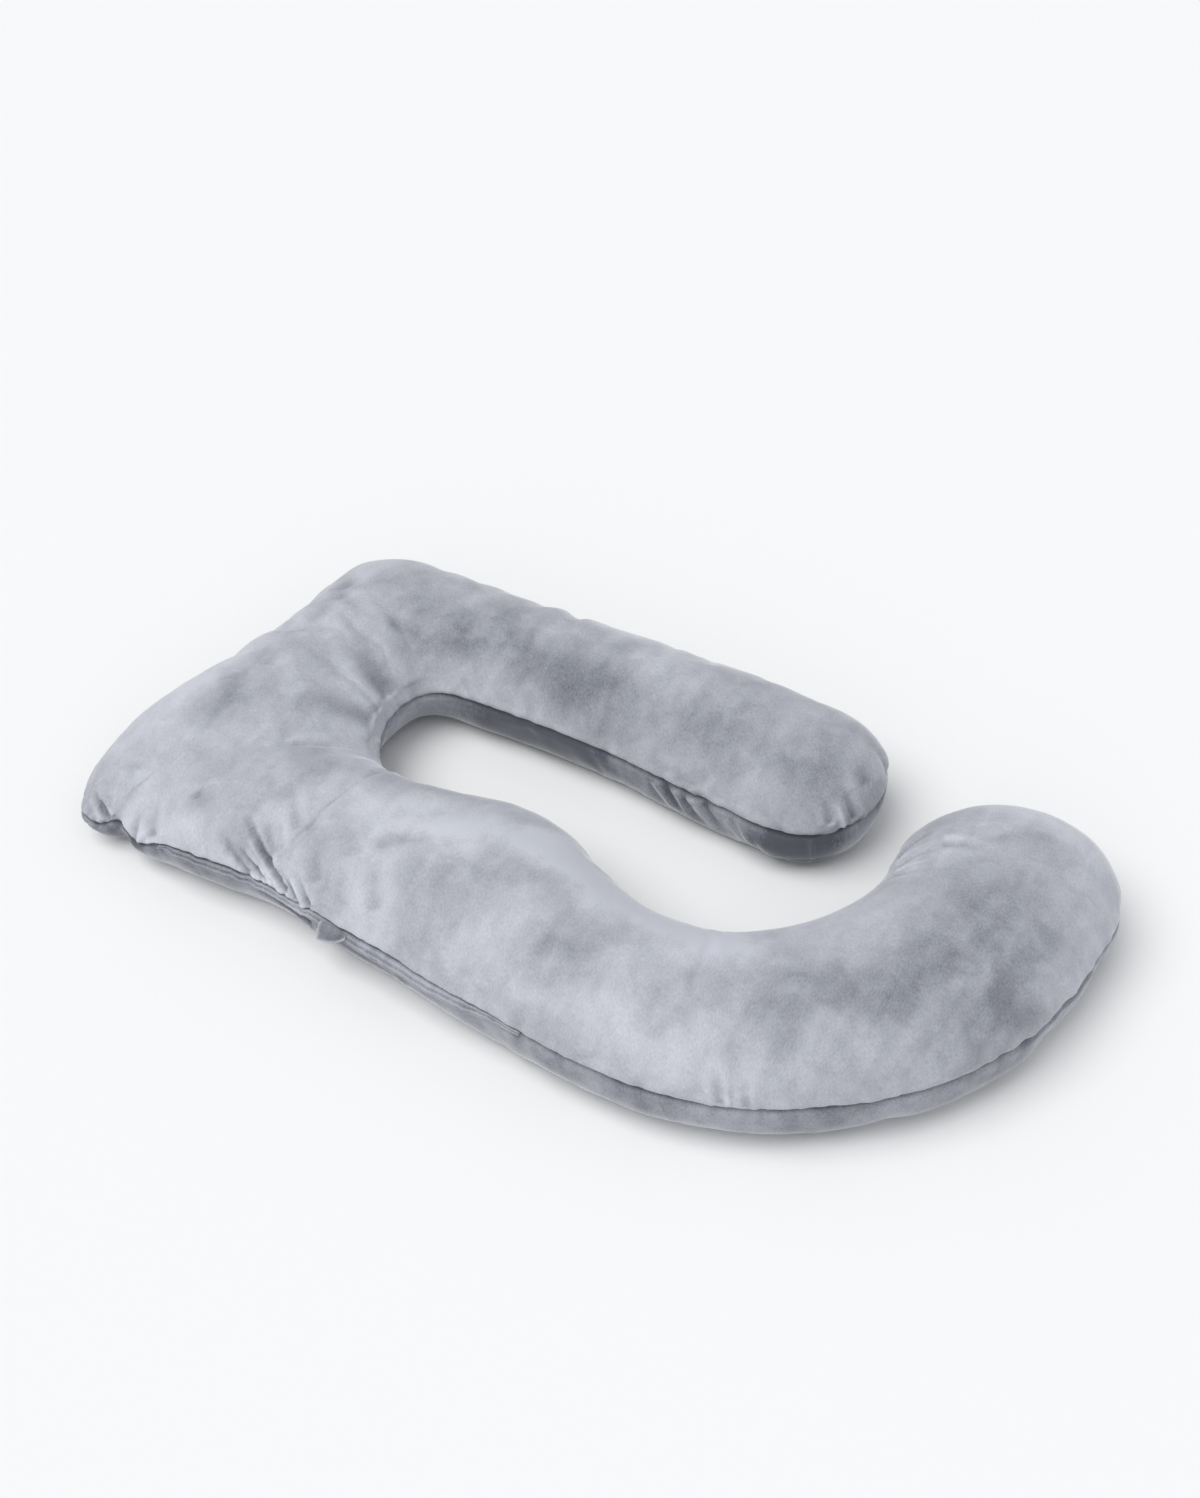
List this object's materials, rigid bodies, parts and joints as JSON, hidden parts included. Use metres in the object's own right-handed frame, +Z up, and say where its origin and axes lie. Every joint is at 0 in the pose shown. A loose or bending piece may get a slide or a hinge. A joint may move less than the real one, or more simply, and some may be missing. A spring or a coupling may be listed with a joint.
{
  "type": "pregnancy pillow",
  "caption": "Full-body pregnancy pillow in velvet: a long filled bolster with a short straight back arm, a square head rest, a belly swell and a hooked end for the knees.",
  "frame": {"origin": "middle of the pillow's base on the surface it lies on, under the middle of its overall length and width", "axes": "+X from the head rest towards the hook for the knees, +Y from the long front arm towards the short back arm, +Z up"},
  "size_m": [1.4458, 0.7848, 0.1902],
  "materials": {
    "cover": "short-pile velvet, blue-grey, with a mottled nap and a soft sheen at grazing angles",
    "placket": "the same short-pile velvet, folded double over the zip and brushed down",
    "tab": "the same short-pile velvet, folded double, with a turned edge"
  },
  "bodies": {
    "root": {"pillow": "cover", "placket": "placket", "tab": "tab"}
  },
  "joints": []
}
